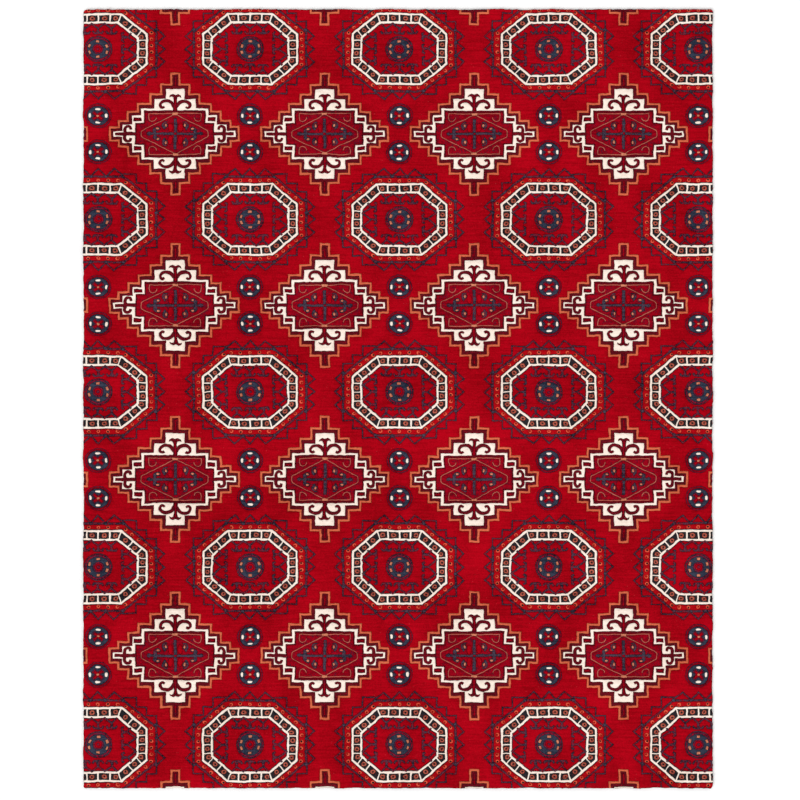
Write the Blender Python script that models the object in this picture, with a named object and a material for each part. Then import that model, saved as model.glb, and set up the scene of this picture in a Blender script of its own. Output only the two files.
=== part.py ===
"""Hand-tufted wool area rug, lying flat on its underside.

Units are metres, +Z up, +Y along the rug's length, origin on the floor under the middle.
From the floor up the rug is four hem tapes around a backing cloth, the folded hem of the
primary cloth around a scrim net, the latex coat, the primary cloth, and the wool pile.
The pile is one red ground with a pocket for each medallion, and a medallion in each pocket.
"""

import math

import bmesh
import bpy
from mathutils import Vector

# Overall sizes.
RUG_WIDTH = 2.44
RUG_LENGTH = 3.02
CORNER_RADIUS = 0.012
CORNER_STEPS = 5

# Clearance between touching pieces.
GAP = 0.0003

# Thicknesses, from the floor up.
BACKING_THICKNESS = 0.0010
CLOTH_THICKNESS = 0.0009
LATEX_THICKNESS = 0.0015
PILE_HEIGHT = 0.0090

# Hem: the pile stands this far out past the folded edge of the primary cloth.
PILE_OVERHANG = 0.0020
HEM_WIDTH = 0.045
TAPE_WIDTH = 0.030
TAPE_INSET = 0.006

# Medallion layout: centres of the first and last octagons, measured in from the rug's edges,
# and the spacing that the rows and columns between them come nearest to. The tufting is a
# little longer in each row than in the row above it.
LEFT_MARGIN = 0.068
RIGHT_MARGIN = 0.056
HEAD_MARGIN = 0.154
FOOT_MARGIN = 0.170
COLUMN_SPACING = 0.579
ROW_SPACING = 0.674
ROW_GROWTH = 1.0143

# Octagon medallion: half sizes, and the half lengths of its flat top and upright side.
OCTAGON_HALF_WIDTH = 0.186
OCTAGON_HALF_HEIGHT = 0.143
OCTAGON_TOP_HALF = 0.088
OCTAGON_SIDE_HALF = 0.061

# Stepped diamond medallion: the half width of each step and the height where it ends,
# from the stem's tip down to the blunt side tip.
DIAMOND_STEPS = (
    (0.020, 0.244),
    (0.058, 0.199),
    (0.098, 0.161),
    (0.143, 0.123),
    (0.181, 0.091),
    (0.217, 0.056),
    (0.250, 0.031),
)

# Heights that follow from the thicknesses.
HEM_LOW = BACKING_THICKNESS + GAP
HEM_HIGH = HEM_LOW + CLOTH_THICKNESS
LATEX_LOW = HEM_HIGH + GAP
LATEX_HIGH = LATEX_LOW + LATEX_THICKNESS
CLOTH_LOW = LATEX_HIGH + GAP
CLOTH_HIGH = CLOTH_LOW + CLOTH_THICKNESS
PILE_LOW = CLOTH_HIGH + GAP
PILE_HIGH = PILE_LOW + PILE_HEIGHT
CUT_MARGIN = 0.01


def clear_scene():
    """Remove every object that the scene starts with."""
    for thing in list(bpy.data.objects):
        bpy.data.objects.remove(thing, do_unlink=True)


def new_collection(name):
    """Add a collection to the scene."""
    group = bpy.data.collections.new(name)
    bpy.context.scene.collection.children.link(group)
    return group


def new_material(name, colour, roughness):
    """A plain Principled material of one colour."""
    material = bpy.data.materials.new(name)
    material.use_nodes = True
    material.diffuse_color = (*colour, 1.0)
    shader = material.node_tree.nodes["Principled BSDF"]
    shader.inputs["Base Color"].default_value = (*colour, 1.0)
    shader.inputs["Roughness"].default_value = roughness
    shader.inputs["Metallic"].default_value = 0.0
    return material


def slab(name, outline, low, high, group, material=None):
    """A flat piece with this outline, between two heights, as a mesh object."""
    curve = bpy.data.curves.new(name, "CURVE")
    curve.dimensions = "2D"
    curve.fill_mode = "BOTH"
    curve.extrude = (high - low) / 2
    spline = curve.splines.new("POLY")
    spline.points.add(len(outline) - 1)
    spline.use_cyclic_u = True
    for point, (x, y) in zip(spline.points, outline):
        point.co = (x, y, 0.0, 1.0)
    guide = bpy.data.objects.new(name + "_outline", curve)
    guide.location.z = (low + high) / 2
    group.objects.link(guide)
    bpy.context.view_layer.update()
    graph = bpy.context.evaluated_depsgraph_get()
    mesh = bpy.data.meshes.new_from_object(guide.evaluated_get(graph))
    place = guide.matrix_world.copy()
    bpy.data.objects.remove(guide, do_unlink=True)
    weld = bmesh.new()
    weld.from_mesh(mesh)
    bmesh.ops.remove_doubles(weld, verts=weld.verts, dist=GAP / 10)
    bmesh.ops.recalc_face_normals(weld, faces=weld.faces)
    weld.to_mesh(mesh)
    weld.free()
    piece = bpy.data.objects.new(name, mesh)
    piece.matrix_world = place
    group.objects.link(piece)
    if material:
        mesh.materials.clear()
        mesh.materials.append(material)
    return piece


def make_cutter(piece):
    """Keep a piece out of the model and out of renders, as a cutter."""
    piece.hide_render = True
    piece.display_type = "WIRE"


def boolean(piece, operation, cutter):
    """Cut a piece with, or trim it to, one cutter."""
    modifier = piece.modifiers.new(operation.lower(), "BOOLEAN")
    modifier.operation = operation
    modifier.solver = "EXACT"
    modifier.object = cutter


def boolean_all(piece, operation, cutters):
    """Cut a piece with every object of a collection."""
    modifier = piece.modifiers.new(operation.lower(), "BOOLEAN")
    modifier.operation = operation
    modifier.solver = "EXACT"
    modifier.operand_type = "COLLECTION"
    modifier.collection = cutters


def rounded_rectangle(inset):
    """The rug's outline, moved in by inset, with its rounded corners."""
    half_x = RUG_WIDTH / 2 - inset
    half_y = RUG_LENGTH / 2 - inset
    radius = max(CORNER_RADIUS - inset, GAP)
    corners = ((1, 1, 0.0), (-1, 1, 90.0), (-1, -1, 180.0), (1, -1, 270.0))
    outline = []
    for side_x, side_y, start in corners:
        centre = (side_x * (half_x - radius), side_y * (half_y - radius))
        for step in range(CORNER_STEPS + 1):
            angle = math.radians(start + 90.0 * step / CORNER_STEPS)
            outline.append((centre[0] + radius * math.cos(angle), centre[1] + radius * math.sin(angle)))
    return outline


def octagon_outline(grow=0.0):
    """An octagon medallion's outline about its centre, moved out by grow."""
    normal_x = OCTAGON_HALF_HEIGHT - OCTAGON_SIDE_HALF
    normal_y = OCTAGON_HALF_WIDTH - OCTAGON_TOP_HALF
    length = math.hypot(normal_x, normal_y)
    normal_x /= length
    normal_y /= length
    reach = normal_x * OCTAGON_TOP_HALF + normal_y * OCTAGON_HALF_HEIGHT + grow
    half_x = OCTAGON_HALF_WIDTH + grow
    half_y = OCTAGON_HALF_HEIGHT + grow
    top = (reach - normal_y * half_y) / normal_x
    side = (reach - normal_x * half_x) / normal_y
    return mirrored_quarter([(top, half_y), (half_x, side)])


def diamond_outline(grow=0.0):
    """A stepped diamond medallion's outline about its centre, moved out by grow."""
    quarter = []
    ends = [height for _, height in DIAMOND_STEPS[1:]] + [None]
    for (half_width, height), next_height in zip(DIAMOND_STEPS, ends):
        quarter.append((half_width + grow, height + grow))
        if next_height is not None:
            quarter.append((half_width + grow, next_height + grow))
    return mirrored_quarter(quarter)


def mirrored_quarter(quarter):
    """A whole outline from its upper right quarter, which runs from the top to the side."""
    lower_right = [(x, -y) for x, y in reversed(quarter)]
    right = quarter + lower_right
    left = [(-x, y) for x, y in reversed(right)]
    return right + left


def intervals(run, spacing):
    """How many equal intervals come nearest to this spacing along a run."""
    return max(1, round(run / spacing))


def laid(outline, column, row):
    """An outline moved to its column and row, counted from the left edge and the head.

    Rows are stretched towards the foot, and what lies between them stretches with them.
    """
    run_x = RUG_WIDTH - LEFT_MARGIN - RIGHT_MARGIN
    run_y = RUG_LENGTH - HEAD_MARGIN - FOOT_MARGIN
    columns = intervals(run_x, COLUMN_SPACING)
    rows = intervals(run_y, ROW_SPACING)
    centre_x = LEFT_MARGIN - RUG_WIDTH / 2 + column * run_x / columns
    head_y = RUG_LENGTH / 2 - HEAD_MARGIN
    placed = []
    for x, y in outline:
        rows_down = row - y * rows / run_y
        share = (ROW_GROWTH**rows_down - 1) / (ROW_GROWTH**rows - 1)
        placed.append((centre_x + x, head_y - run_y * share))
    return placed


def medallion_places():
    """Each medallion's name, outline function, column and row, row by row from the head."""
    columns = intervals(RUG_WIDTH - LEFT_MARGIN - RIGHT_MARGIN, COLUMN_SPACING)
    rows = intervals(RUG_LENGTH - HEAD_MARGIN - FOOT_MARGIN, ROW_SPACING)
    for row in range(rows + 1):
        for column in range(columns + 1):
            yield f"octagon_medallion_r{row + 1}c{column + 1}", octagon_outline, column, row
    for row in range(rows):
        for column in range(columns):
            name = f"diamond_medallion_r{row + 1}c{column + 1}"
            yield name, diamond_outline, column + 0.5, row + 0.5


def crosses_edge(outline):
    """Whether an outline reaches past the rug's edge."""
    return any(abs(x) > RUG_WIDTH / 2 or abs(y) > RUG_LENGTH / 2 for x, y in outline)


def build_pile(rug, guides, cutters, materials):
    """The red ground pile, and a medallion in each of its pockets."""
    trim = slab("rug_trim", rounded_rectangle(0.0), -CUT_MARGIN, PILE_HIGH + CUT_MARGIN, guides)
    make_cutter(trim)
    for name, outline_of, column, row in medallion_places():
        outline = laid(outline_of(), column, row)
        medallion = slab(name, outline, PILE_LOW, PILE_HIGH, rug, materials[name.split("_")[0]])
        if crosses_edge(outline):
            boolean(medallion, "INTERSECT", trim)
        pocket = slab(
            name + "_pocket",
            laid(outline_of(GAP), column, row),
            PILE_LOW - CUT_MARGIN,
            PILE_HIGH + CUT_MARGIN,
            cutters,
        )
        make_cutter(pocket)
    ground = slab("ground_pile", rounded_rectangle(0.0), PILE_LOW, PILE_HIGH, rug, materials["ground"])
    boolean_all(ground, "DIFFERENCE", cutters)


def build_primary_cloth(rug, guides, materials):
    """The cloth that holds the tufts, with its margin folded under as a hem."""
    cloth = slab(
        "primary_cloth", rounded_rectangle(PILE_OVERHANG), HEM_LOW, CLOTH_HIGH, rug, materials["cotton"]
    )
    room = slab(
        "latex_room",
        rounded_rectangle(PILE_OVERHANG + CLOTH_THICKNESS),
        HEM_HIGH,
        CLOTH_LOW,
        guides,
    )
    opening = slab(
        "hem_opening",
        rounded_rectangle(PILE_OVERHANG + HEM_WIDTH),
        HEM_LOW - CUT_MARGIN,
        (HEM_HIGH + CLOTH_LOW) / 2,
        guides,
    )
    for cutter in (room, opening):
        make_cutter(cutter)
        boolean(cloth, "DIFFERENCE", cutter)


def build_layers(rug, materials):
    """The latex coat, the scrim net inside the hem, and the backing cloth."""
    coat_inset = PILE_OVERHANG + CLOTH_THICKNESS + GAP
    slab("latex_coat", rounded_rectangle(coat_inset), LATEX_LOW, LATEX_HIGH, rug, materials["latex"])
    scrim_inset = PILE_OVERHANG + HEM_WIDTH + GAP
    slab("scrim_net", rounded_rectangle(scrim_inset), HEM_LOW, HEM_HIGH, rug, materials["scrim"])
    backing_inset = TAPE_INSET + TAPE_WIDTH + GAP
    slab(
        "backing_cloth",
        rounded_rectangle(backing_inset),
        0.0,
        BACKING_THICKNESS,
        rug,
        materials["canvas"],
    )


def build_tapes(rug, materials):
    """Four hem tapes, mitred where they meet at the corners."""
    half_x = RUG_WIDTH / 2 - TAPE_INSET
    half_y = RUG_LENGTH / 2 - TAPE_INSET
    tapes = (
        ("hem_tape_head", half_x, half_y, 0),
        ("hem_tape_left", half_y, half_x, 1),
        ("hem_tape_foot", half_x, half_y, 2),
        ("hem_tape_right", half_y, half_x, 3),
    )
    mitre = GAP * math.sqrt(0.5)
    for name, half_run, reach, turns in tapes:
        outer = half_run - mitre
        inner = half_run - TAPE_WIDTH - mitre
        strip = [
            Vector((-outer, reach)),
            Vector((outer, reach)),
            Vector((inner, reach - TAPE_WIDTH)),
            Vector((-inner, reach - TAPE_WIDTH)),
        ]
        for _ in range(turns):
            strip = [Vector((-point.y, point.x)) for point in strip]
        slab(name, [tuple(point) for point in strip], 0.0, BACKING_THICKNESS, rug, materials["tape"])


def main():
    """Build the rug's pieces, from the floor up."""
    clear_scene()
    rug = new_collection("area_rug")
    guides = new_collection("guides")
    pockets = new_collection("pocket_cutters")
    materials = {
        "ground": new_material("wool_red", (0.40, 0.004, 0.012), 0.95),
        "octagon": new_material("wool_ivory", (0.80, 0.75, 0.65), 0.95),
        "diamond": new_material("wool_terracotta", (0.50, 0.13, 0.045), 0.95),
        "cotton": new_material("cotton_cloth", (0.62, 0.55, 0.42), 0.90),
        "latex": new_material("latex", (0.66, 0.60, 0.45), 0.60),
        "scrim": new_material("cotton_scrim", (0.70, 0.66, 0.56), 0.90),
        "canvas": new_material("cotton_canvas", (0.58, 0.50, 0.37), 0.90),
        "tape": new_material("hem_tape", (0.55, 0.47, 0.34), 0.85),
    }
    build_tapes(rug, materials)
    build_layers(rug, materials)
    build_primary_cloth(rug, guides, materials)
    build_pile(rug, guides, pockets, materials)


main()
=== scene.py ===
"""A hand-tufted wool area rug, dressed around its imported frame.

The pile is drawn once, as the quarter of a repeat that lies between an octagon's centre and a
diamond's centre. It is mirrored over the rug, cut to the rug's outline, and raised yarn by yarn
into closed areas of pile with a carved groove between them. Below it lie the cloths, the scrim
net, the hem tapes and their stitching.
"""

import logging
import math
from dataclasses import dataclass, field
from enum import Enum
from typing import Callable, Sequence

import bmesh
import bpy
import numpy as np
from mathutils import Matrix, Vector, geometry


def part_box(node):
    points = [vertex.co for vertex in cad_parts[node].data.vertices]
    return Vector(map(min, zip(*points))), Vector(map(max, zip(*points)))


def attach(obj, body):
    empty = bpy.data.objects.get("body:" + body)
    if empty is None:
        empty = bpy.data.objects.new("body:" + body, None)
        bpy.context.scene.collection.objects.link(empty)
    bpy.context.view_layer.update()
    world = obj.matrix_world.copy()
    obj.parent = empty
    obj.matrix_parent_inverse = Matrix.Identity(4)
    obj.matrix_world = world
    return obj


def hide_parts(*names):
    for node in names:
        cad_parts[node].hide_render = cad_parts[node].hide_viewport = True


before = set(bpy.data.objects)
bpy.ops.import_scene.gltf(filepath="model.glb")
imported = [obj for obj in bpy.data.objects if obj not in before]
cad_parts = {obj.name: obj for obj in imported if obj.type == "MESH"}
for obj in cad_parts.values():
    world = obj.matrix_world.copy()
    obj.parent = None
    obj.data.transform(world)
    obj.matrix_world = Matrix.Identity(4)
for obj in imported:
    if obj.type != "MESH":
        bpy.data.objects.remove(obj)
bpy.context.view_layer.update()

logging.basicConfig(level=logging.INFO, format="%(message)s")
log = logging.getLogger("rug")

MM = 0.001
BODY = "root"
LEAST_SHARE = 0.301  # of a sheet's outline, as its own flat area
Outline = np.ndarray
Colour = tuple[float, float, float]


# --------------------------------------------------------------------------- shader kit


class Shade:
    """A node's output socket, with the arithmetic of the Math node as Python operators."""

    def __init__(self, recipe: "Recipe", socket: bpy.types.NodeSocket) -> None:
        """Wraps a socket.

        Args:
            recipe: the material recipe that the socket belongs to.
            socket: the output socket.
        """
        self.recipe = recipe
        self.socket = socket

    def maths(self, operation: str, *values: object) -> "Shade":
        """Adds one Math node.

        Args:
            operation: the Math node's operation.
            values: the operands, sockets or numbers.
        Returns:
            The node's result.
        """
        return self.recipe.node("ShaderNodeMath", {"operation": operation}, dict(enumerate(values)))

    def __add__(self, other: object) -> "Shade":
        """self + other."""
        return self.maths("ADD", self, other)

    __radd__ = __add__

    def __sub__(self, other: object) -> "Shade":
        """self - other."""
        return self.maths("SUBTRACT", self, other)

    def __rsub__(self, other: object) -> "Shade":
        """other - self."""
        return self.maths("SUBTRACT", other, self)

    def __mul__(self, other: object) -> "Shade":
        """self * other."""
        return self.maths("MULTIPLY", self, other)

    __rmul__ = __mul__

    def __pow__(self, other: object) -> "Shade":
        """self ** other."""
        return self.maths("POWER", self, other)

    def sine(self) -> "Shade":
        """The sine of self, in radians."""
        return self.maths("SINE", self)

    def size(self) -> "Shade":
        """The absolute value of self."""
        return self.maths("ABSOLUTE", self)

    def step_over(self, low: float, high: float) -> "Shade":
        """Rises smoothly from 0 at low to 1 at high.

        Args:
            low: where the rise starts.
            high: where it ends.
        Returns:
            The smooth step.
        """
        inputs = {"Value": self, "From Min": low, "From Max": high}
        return self.recipe.node("ShaderNodeMapRange", {"interpolation_type": "SMOOTHSTEP"}, inputs)


class Recipe:
    """One material in the making: a node tree with a Principled shader."""

    def __init__(self, name: str) -> None:
        """Starts a material.

        Args:
            name: the material's name.
        """
        self.material = bpy.data.materials.new(name)
        self.material.use_nodes = True
        self.tree = self.material.node_tree
        self.shader = self.tree.nodes["Principled BSDF"]

    def join(self, socket: bpy.types.NodeSocket, value: object) -> None:
        """Links a Shade to an input socket, or sets the socket to a plain value.

        Args:
            socket: the input socket.
            value: a Shade, number, colour or vector.
        """
        if isinstance(value, Shade):
            self.tree.links.new(value.socket, socket)
        else:
            socket.default_value = value

    def node(self, kind: str, settings: dict, inputs: dict, output: object = 0) -> Shade:
        """Adds any node.

        Args:
            kind: the node's type.
            settings: its properties, set before its sockets.
            inputs: values or links for its sockets, by name or number.
            output: the wanted output, by name or number.
        Returns:
            The wanted output.
        """
        made = self.tree.nodes.new(kind)
        for name, value in settings.items():
            setattr(made, name, value)
        for name, value in inputs.items():
            self.join(made.inputs[name], value)
        return Shade(self, made.outputs[output])

    def place(self, scale: Sequence[float] = (1.0, 1.0, 1.0), turn: float = 0.0) -> Shade:
        """The point on the object, stretched for a texture.

        Args:
            scale: the factor along x, y and z.
            turn: the turn about z, in radians.
        Returns:
            The stretched point.
        """
        point = self.node("ShaderNodeTexCoord", {}, {}, "Object")
        inputs = {"Vector": point, "Scale": scale, "Rotation": (0.0, 0.0, turn)}
        return self.node("ShaderNodeMapping", {}, inputs)

    def along(self, axis: str, turn: float = 0.0) -> Shade:
        """The point's distance along one axis, X, Y or Z, after a turn about z."""
        return self.node("ShaderNodeSeparateXYZ", {}, {"Vector": self.place(turn=turn)}, axis)

    def noise(self, scale: float, stretch: Sequence[float] = (1.0, 1.0, 1.0), detail: float = 2.0) -> Shade:
        """Cloudy noise from 0 to 1 around one half.

        Args:
            scale: its features per metre.
            stretch: the factor along x, y and z.
            detail: its octaves.
        Returns:
            The noise.
        """
        inputs = {"Vector": self.place(stretch), "Scale": scale, "Detail": detail}
        return self.node("ShaderNodeTexNoise", {}, inputs)

    def tufts(self, size: float, stretch: Sequence[float] = (1.0, 1.0, 1.0), channel: str = "Red") -> tuple:
        """Round cells, each with a random value of its own.

        Args:
            size: the cells' size.
            stretch: the factor along x, y and z.
            channel: which of the cells' random colours gives the value.
        Returns:
            The distance from a cell's middle, and the cell's value.
        """
        inputs = {"Vector": self.place(stretch), "Scale": 1.0 / size}
        away = self.node("ShaderNodeTexVoronoi", {"feature": "F1"}, inputs)
        colour = Shade(self, away.socket.node.outputs["Color"])
        return away, self.node("ShaderNodeSeparateColor", {}, {"Color": colour}, channel)

    def blend(self, amount: object, first: object, second: object, way: str = "MIX") -> Shade:
        """Mixes two colours.

        Args:
            amount: how much of the second.
            first: the first colour.
            second: the second colour.
            way: the Mix node's blend type.
        Returns:
            The mixed colour.
        """
        made = self.tree.nodes.new("ShaderNodeMix")
        made.data_type = "RGBA"
        made.blend_type = way
        self.join(made.inputs[0], amount)
        for socket, value in ((made.inputs[6], first), (made.inputs[7], second)):
            self.join(socket, (*value, 1.0) if isinstance(value, tuple) else value)
        return Shade(self, made.outputs[2])

    def finish(
        self, colour: Shade, rough: object, height: Shade, depth: float, **plain: object,
    ) -> bpy.types.Material:
        """Connects the recipe to its shader.

        Args:
            colour: the base colour.
            rough: the roughness.
            height: the height for the bump, from 0 to 1.
            depth: the bump's height in metres.
            plain: constants by socket name, with _ for a space.
        Returns:
            The material.
        """
        self.join(self.shader.inputs["Base Color"], colour)
        self.join(self.shader.inputs["Roughness"], rough)
        bump = self.node("ShaderNodeBump", {}, {"Height": height, "Distance": depth, "Strength": 1.0})
        self.join(self.shader.inputs["Normal"], bump)
        for name, value in plain.items():
            self.join(self.shader.inputs[name.replace("_", " ")], value)
        return self.material


# --------------------------------------------------------------------------- finishes


@dataclass(frozen=True)
class WoolFinish:
    """Cut wool pile of one dye: tufts, rows, uneven dye, painted light and shade of the nap, and painted
    shade lower in the pile.

    Attributes:
        name: the material's name.
        deep: the darkest shade of the dye.
        bright: the lightest shade of the dye.
        streak: how far the tuft rows show, from 0 to 1.
        mottle: how far single tufts differ, from 0 to 1.
        fleck: a second dye that single tufts have.
        flecked: the share of the tufts that have it.
        fleck_size: the size of those tufts.
        tuft: the size of the other tufts.
        row: the distance from one row of tufts to the next.
        row_reach: how far a row keeps its shade.
        patch: how far patches a hand wide differ, from 0 to 1, as painted light and shade where the nap
            leans different ways.
        patches: how many patches there are to the metre.
        abrash: how far bands of one dyeing differ, from 0 to 1.
        abrash_bands: how many such bands there are to the metre.
        shadow_from: the height from which the pile lies in no shadow.
        shadow_to: the height below which it lies in full shadow.
        shadow: the light that is left there.
        tuft_height: how far a tuft stands out.
        stand: how little the pattern changes down a tuft, from 0 to 1.
    """

    name: str
    deep: Colour
    bright: Colour
    streak: float = 0.9
    mottle: float = 0.35
    fleck: Colour = (0.0, 0.0, 0.0)
    flecked: float = 0.0
    fleck_size: float = 4.2 * MM
    tuft: float = 3.4 * MM
    row: float = 7.0 * MM
    row_reach: float = 90.0 * MM
    patch: float = 0.80
    patches: float = 7.0
    abrash: float = 0.45
    abrash_bands: float = 3.2
    shadow_from: float = 13.4 * MM
    shadow_to: float = 11.0 * MM
    shadow: float = 0.30
    tuft_height: float = 0.9 * MM
    stand: float = 0.12

    def material(self) -> bpy.types.Material:
        """Makes the wool material."""
        mix = Recipe(self.name)
        upright = (1.0, 1.0, self.stand)
        dome, speck = mix.tufts(self.tuft, upright)
        rows = mix.noise(1.0 / self.row, (self.row / self.row_reach, 1.0, 1.0), 3.0)
        # Painted light and shade: patches a hand wide where the nap leans different ways.
        patch = mix.noise(self.patches, (1.0, 0.6, 1.0), 3.0)
        abrash = mix.noise(self.abrash_bands, (0.12, 1.0, 1.0), 1.0)
        level = 0.5 + (rows - 0.5) * self.streak + (speck - 0.5) * self.mottle
        level = level + (patch - 0.5) * self.patch + (abrash - 0.5) * self.abrash
        dye = mix.blend(level.step_over(0.0, 1.0), self.deep, self.bright)
        if self.flecked:
            middle, chance = mix.tufts(self.fleck_size, upright, "Green")
            chosen = chance.step_over(1.0 - self.flecked, 1.02 - self.flecked)
            dye = mix.blend(chosen * (1.0 - middle.step_over(0.3, 0.75)), dye, self.fleck)
        # Painted shade: the colour darkens lower in the pile, in the carved grooves and at the rug's rolled
        # edge.
        lit = mix.along("Z").step_over(self.shadow_to, self.shadow_from)
        shade = mix.blend(lit, (self.shadow,) * 3, (1.0, 1.0, 1.0))
        colour = mix.blend(1.0, dye, shade, "MULTIPLY")
        fibre = mix.noise(800.0, upright, 3.0)
        relief = (1.0 - dome) * 0.7 + fibre * 0.3 + rows * 0.5
        return mix.finish(
            colour, 0.82 + speck * 0.12, relief, self.tuft_height,
            Specular_IOR_Level=0.02, Sheen_Weight=0.05, Sheen_Roughness=0.5, Sheen_Tint=(*self.bright, 1.0),
        )


@dataclass(frozen=True)
class ClothFinish:
    """Plain-woven cloth: threads over and under each other with painted shade between them, uneven and a
    little soiled.

    Attributes:
        name: the material's name.
        thread: the distance from thread to thread.
        shade: the colour of the threads' crowns.
        gap: the colour between the threads, a painted shade darker than the crowns.
        relief: how far the crowns stand out.
        turn: the turn of the weave about z.
        soiled: how far the soiling shows, from 0 to 1.
    """

    name: str
    thread: float
    shade: Colour
    gap: Colour
    relief: float = 0.35 * MM
    turn: float = 0.0
    soiled: float = 0.35

    def material(self) -> bpy.types.Material:
        """Makes the cloth material."""
        mix = Recipe(self.name)
        along, across = (mix.along(axis, self.turn) * (math.pi / self.thread) for axis in "XY")
        slub = mix.noise(60.0, (0.05, 1.0, 1.0), 2.0) + mix.noise(60.0, (1.0, 0.05, 1.0), 2.0) - 1.0
        weave = (along.sine() * across.sine()).size() ** 0.5
        over = (along * 0.5).sine() * (across * 0.5).sine()
        crown = (weave * 0.75 + over * 0.15 + slub * 0.4 + 0.1).step_over(0.0, 1.0)
        soil = mix.noise(4.0, (1.0, 1.0, 1.0), 4.0)
        # Painted shade: the threads' raised crowns are light and the hollows between them dark.
        colour = mix.blend(crown, self.gap, self.shade)
        colour = mix.blend(self.soiled, colour, mix.blend(soil, self.gap, self.shade))
        rough = 0.85 + slub * 0.1
        return mix.finish(colour, rough, crown, self.relief, Specular_IOR_Level=0.2, Sheen_Weight=0.05)


@dataclass(frozen=True)
class LatexFinish:
    """Dried adhesive: creamy, slightly glossy, with brush drag and small bubbles."""

    name: str = "dried_latex"
    thin: Colour = (0.62, 0.52, 0.34)
    thick: Colour = (0.80, 0.74, 0.58)

    def material(self) -> bpy.types.Material:
        """Makes the latex material."""
        mix = Recipe(self.name)
        drag = mix.noise(40.0, (0.1, 1.0, 1.0), 3.0)
        bubbles = {"Vector": mix.place(), "Scale": 180.0}
        bubble = mix.node("ShaderNodeTexVoronoi", {"feature": "F1"}, bubbles)
        colour = mix.blend(drag, self.thin, self.thick)
        relief = drag * 0.6 + bubble * 0.4
        return mix.finish(colour, 0.45 + drag * 0.25, relief, 0.5 * MM, Specular_IOR_Level=0.4)


@dataclass(frozen=True)
class StudioFinish:
    """A pale, matt studio floor with a barely uneven paint."""

    name: str = "studio_floor"
    low: Colour = (0.90, 0.90, 0.90)
    high: Colour = (0.95, 0.95, 0.95)

    def material(self) -> bpy.types.Material:
        """Makes the floor material."""
        mix = Recipe(self.name)
        paint = mix.noise(2.0)
        colour = mix.blend(paint, self.low, self.high)
        return mix.finish(colour, 0.8, paint, 0.1 * MM, Specular_IOR_Level=0.1)


class Yarn(Enum):
    """The yarns of the pile, each with its finish and the record's slot."""

    CRIMSON = ("wool_red", WoolFinish(
        "crimson_wool", (0.208, 0.0002, 0.0028), (0.438, 0.0010, 0.0086), fleck=(0.62, 0.12, 0.13),
        flecked=0.006, fleck_size=3.0 * MM))
    GARNET = ("wool_red", WoolFinish(
        "garnet_wool", (0.125, 0.0004, 0.0040), (0.350, 0.0014, 0.0105), 1.0, 0.5,
        (0.060, 0.006, 0.020), 0.20))
    SCARLET = ("wool_red", WoolFinish("scarlet_wool", (0.240, 0.0008, 0.0032), (0.490, 0.0036, 0.0085)))
    IVORY = ("wool_ivory", WoolFinish("ivory_wool", (0.78, 0.64, 0.54), (0.97, 0.85, 0.76), shadow=0.25))
    CHARCOAL = ("wool_navy", WoolFinish(
        "charcoal_wool", (0.008, 0.008, 0.010), (0.027, 0.024, 0.029),
        fleck=(0.075, 0.013, 0.012), flecked=0.07))
    INDIGO = ("wool_navy", WoolFinish(
        "indigo_wool", (0.012, 0.007, 0.015), (0.078, 0.036, 0.060), 1.3, 0.7, (0.240, 0.003, 0.014), 0.42))
    SLATE = ("wool_navy", WoolFinish(
        "slate_wool", (0.012, 0.010, 0.019), (0.072, 0.052, 0.080), 1.3, 0.6, (0.160, 0.006, 0.020), 0.10))
    NAVY = ("wool_navy", WoolFinish("navy_wool", (0.011, 0.016, 0.030), (0.042, 0.050, 0.080), 1.2, 0.5))
    PLUM = ("wool_maroon", WoolFinish(
        "plum_wool", (0.042, 0.005, 0.018), (0.150, 0.018, 0.046), 1.2, 0.6, (0.320, 0.002, 0.012), 0.48))
    WINE = ("wool_maroon", WoolFinish(
        "wine_wool", (0.052, 0.0022, 0.0050), (0.150, 0.0060, 0.0130),
        fleck=(0.26, 0.002, 0.012), flecked=0.08))
    TERRACOTTA = ("wool_terracotta", WoolFinish(
        "terracotta_wool", (0.42, 0.078, 0.034), (0.72, 0.155, 0.075)))
    RUST = ("wool_terracotta", WoolFinish(
        "rust_wool", (0.21, 0.042, 0.028), (0.50, 0.120, 0.078), 1.0, 0.6, (0.14, 0.014, 0.016), 0.15))
    CORAL = ("wool_terracotta", WoolFinish("coral_wool", (0.50, 0.050, 0.026), (0.82, 0.110, 0.060)))
    TAN = ("wool_terracotta", WoolFinish("tan_wool", (0.33, 0.070, 0.052), (0.56, 0.135, 0.100)))
    APRICOT = ("wool_terracotta", WoolFinish(
        "apricot_wool", (0.38, 0.110, 0.060), (0.66, 0.230, 0.135), 1.0, 0.6))

    @property
    def slot(self) -> str:
        """The record's material slot."""
        return self.value[0]

    @property
    def finish(self) -> WoolFinish:
        """The yarn's finish."""
        return self.value[1]


# --------------------------------------------------------------------------- plane shapes


def polygon(*corners: tuple[float, float]) -> Outline:
    """An outline from its corners."""
    return np.array(corners, float)


def box_outline(centre: tuple[float, float], width: float, height: float) -> Outline:
    """A rectangle about a centre."""
    x, y = centre
    w, h = width / 2, height / 2
    return polygon((x - w, y - h), (x + w, y - h), (x + w, y + h), (x - w, y + h))


def oval(
    centre: tuple[float, float], width: float, height: float, sides: int = 12, square: float = 1.0,
) -> Outline:
    """An oval about a centre.

    Args:
        centre: its centre.
        width: its full width.
        height: its full height.
        sides: how many straight sides it has.
        square: 1 for an ellipse, less for a squarer shape.
    Returns:
        The outline.
    """
    turn = (np.arange(sides) + 0.5) * math.tau / sides
    x, y = np.cos(turn), np.sin(turn)
    x, y = (np.sign(v) * np.abs(v) ** square for v in (x, y))
    return np.stack([centre[0] + x * width / 2, centre[1] + y * height / 2], 1)


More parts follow.
